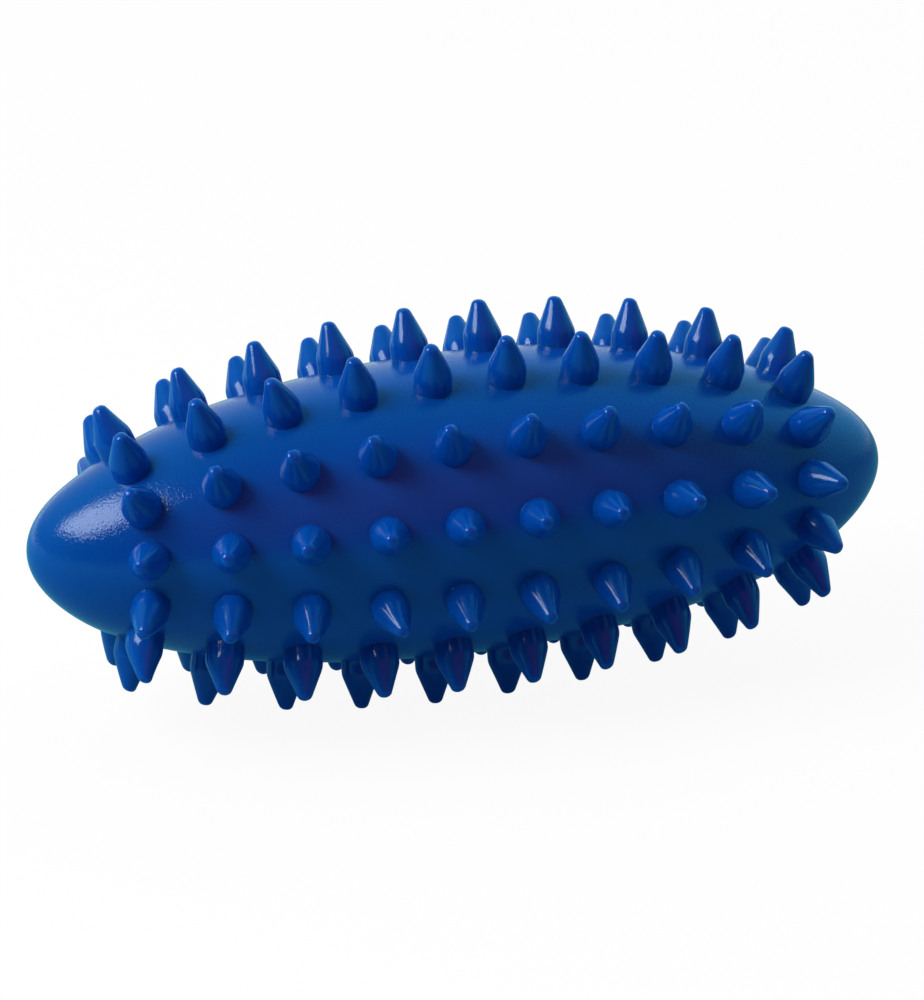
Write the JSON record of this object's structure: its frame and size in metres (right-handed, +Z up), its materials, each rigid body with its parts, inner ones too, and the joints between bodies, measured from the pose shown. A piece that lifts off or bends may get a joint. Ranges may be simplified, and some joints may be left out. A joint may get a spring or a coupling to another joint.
{
  "type": "spiky massage roll",
  "caption": "Oval air-filled massage roll: an egg-ended soft skin ringed with blunt solid spikes, closed at one end by a flush push-in stopper.",
  "frame": {"origin": "on the surface the roll rests on, under the middle of its length and its axis", "axes": "+X along the roll towards the valve end, +Z up, with two rows of spikes standing half a step to either side of straight down"},
  "size_m": [0.155, 0.0676, 0.0677],
  "materials": {
    "skin_vinyl": "satin soft vinyl, deep blue, very fine grain",
    "spike_vinyl": "glossy soft vinyl, deep blue, moulded in one with the skin",
    "seat_rubber": "matte",
    "stopper_plastic": "smooth, off-white"
  },
  "bodies": {
    "roll": {"skin": "skin_vinyl", "spike_ring_01": "spike_vinyl", "spike_ring_02": "spike_vinyl", "spike_ring_03": "spike_vinyl", "spike_ring_04": "spike_vinyl", "spike_ring_05": "spike_vinyl", "spike_ring_06": "spike_vinyl", "spike_ring_07": "spike_vinyl", "spike_ring_08": "spike_vinyl", "spike_ring_09": "spike_vinyl", "spike_ring_10": "spike_vinyl", "valve_seat": "seat_rubber"},
    "stopper": {"valve_stopper": "stopper_plastic"}
  },
  "joints": [
    {"name": "stopper_pull", "type": "slide", "parent": "roll", "child": "stopper", "axis": [1, 0, 0], "range_m": [0, 0.014]}
  ]
}
